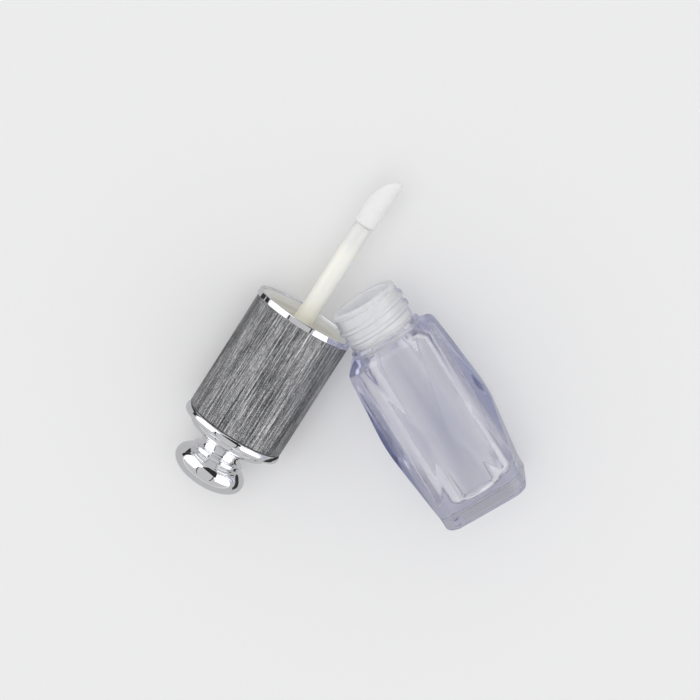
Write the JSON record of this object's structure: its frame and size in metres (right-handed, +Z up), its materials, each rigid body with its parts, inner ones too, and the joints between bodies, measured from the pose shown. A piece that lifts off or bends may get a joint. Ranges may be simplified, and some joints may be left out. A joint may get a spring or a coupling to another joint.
{
  "type": "lip gloss tube",
  "caption": "Faceted clear lip gloss bottle lying open beside its knobbed screw cap, with the wand and slanted flocked tip standing out of the cap.",
  "frame": {"origin": "centre of the footprint of the open bottle and cap, on the surface they lie on", "axes": "+Z up off the surface, +Y towards the bottle's mouth, +X to the side away from the cap"},
  "size_m": [0.071, 0.0689, 0.0249],
  "materials": {
    "clear_plastic": "clear moulded plastic with a faint violet tint",
    "milky_plastic": "translucent milky polyethylene",
    "chrome_plating": "mirror chrome plating",
    "brushed_foil": "dark grey foil with fine lengthwise streaks and a faint weave",
    "grey_plastic": "plain moulded core",
    "ivory_plastic": "ivory moulded polypropylene",
    "foam_rubber": "soft foam washer",
    "screw_steel": "plain steel screw",
    "soft_elastomer": "soft moulded elastomer",
    "flock": "short white flock"
  },
  "bodies": {
    "bottle": {"bottle_body": "clear_plastic", "wiper_plug": "milky_plastic"},
    "seal": {"seal_washer": "foam_rubber"},
    "wand": {"applicator_stem": "ivory_plastic"},
    "cap": {"mouth_ring": "chrome_plating", "outer_sleeve": "brushed_foil", "core_tube": "grey_plastic", "end_ring": "chrome_plating", "inner_cap": "ivory_plastic", "shoulder_dome": "chrome_plating", "knob_collar": "chrome_plating", "knob": "chrome_plating", "knob_screw": "screw_steel", "tip_core": "soft_elastomer", "flocked_tip": "flock"}
  },
  "joints": [
    {"name": "cap_swing", "type": "hinge", "parent": "bottle", "child": "seal", "pos_m": [0.01615, 0.03638, 0.00936], "axis": [-0.5915, 0.437, -0.6776], "range_deg": [0, 128.54]},
    {"name": "cap_rise", "type": "slide", "parent": "seal", "child": "wand", "axis": [0.8949, 0.4462, 0], "range_m": [-0.0036, 0]},
    {"name": "cap_turn", "type": "hinge", "parent": "wand", "child": "cap", "pos_m": [0.00446, 0.01953, 0.0113], "axis": [0.8949, 0.4462, 0], "range_deg": [-540, 0]}
  ],
  "couplings": [
    {"joint": "cap_rise", "follows": "cap_turn", "m_per_rad": 0.00038197}
  ]
}
